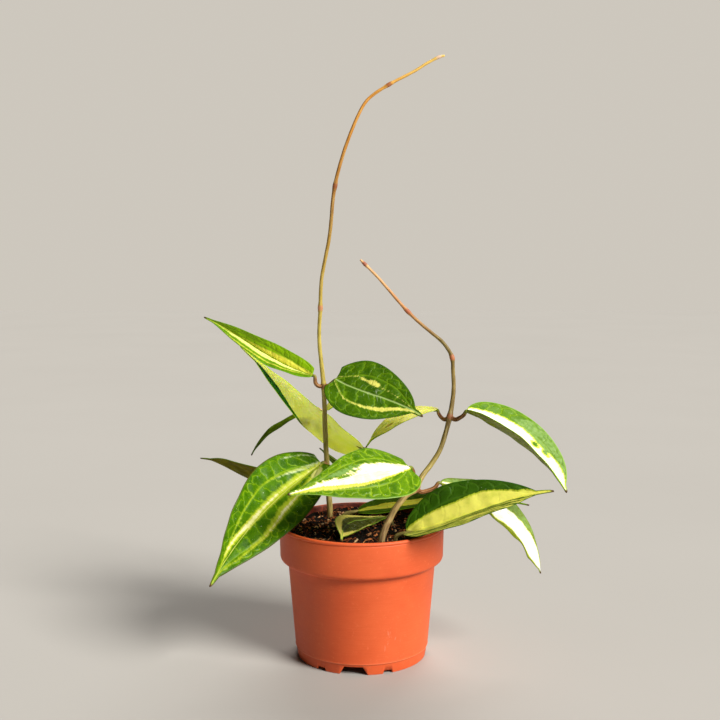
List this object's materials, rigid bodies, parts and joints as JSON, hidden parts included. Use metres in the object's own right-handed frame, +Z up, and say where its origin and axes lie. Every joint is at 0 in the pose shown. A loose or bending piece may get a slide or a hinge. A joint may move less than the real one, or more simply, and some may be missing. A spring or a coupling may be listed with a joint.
{
  "type": "potted houseplant",
  "caption": "Young climbing houseplant with striped pointed leaves and long bare shoots, rooted in soil in a round tapered plastic pot with a deep collar.",
  "frame": {"origin": "middle of the pot's flat underside, at the level of the surface that it stands on", "axes": "+Z up along the pot's axis; +Y away from the picture's camera, so -Y is the front; +X to the right as seen from the front"},
  "size_m": [0.2697, 0.1589, 0.4286],
  "materials": {
    "pot_plastic": "satin",
    "soil_mix": "crumbly, rough",
    "stem_bark": "smooth young bark",
    "leaf_green": "waxy, glossy",
    "leaf_pale": "waxy, satin"
  },
  "bodies": {
    "root": {"pot": "pot_plastic", "soil": "soil_mix", "stem_left": "stem_bark", "stem_right": "stem_bark", "stem_back": "stem_bark", "stalk_low_right": "stem_bark", "stalk_low_back": "stem_bark", "stalk_small_low": "stem_bark", "stalk_far_left": "stem_bark", "leaf_upper_left": "leaf_green", "leaf_upper_right": "leaf_green", "leaf_pale_back": "leaf_pale", "leaf_front_white": "leaf_green", "leaf_back_right": "leaf_pale", "leaf_arching_right": "leaf_green", "leaf_low_right": "leaf_green", "leaf_drooping_right": "leaf_green", "leaf_low_back": "leaf_green", "leaf_small_low": "leaf_green", "leaf_large_left": "leaf_green", "leaf_far_left": "leaf_green", "leaf_thin_left": "leaf_green", "leaf_hidden_tip": "leaf_green", "leaf_young": "leaf_pale"}
  },
  "joints": []
}
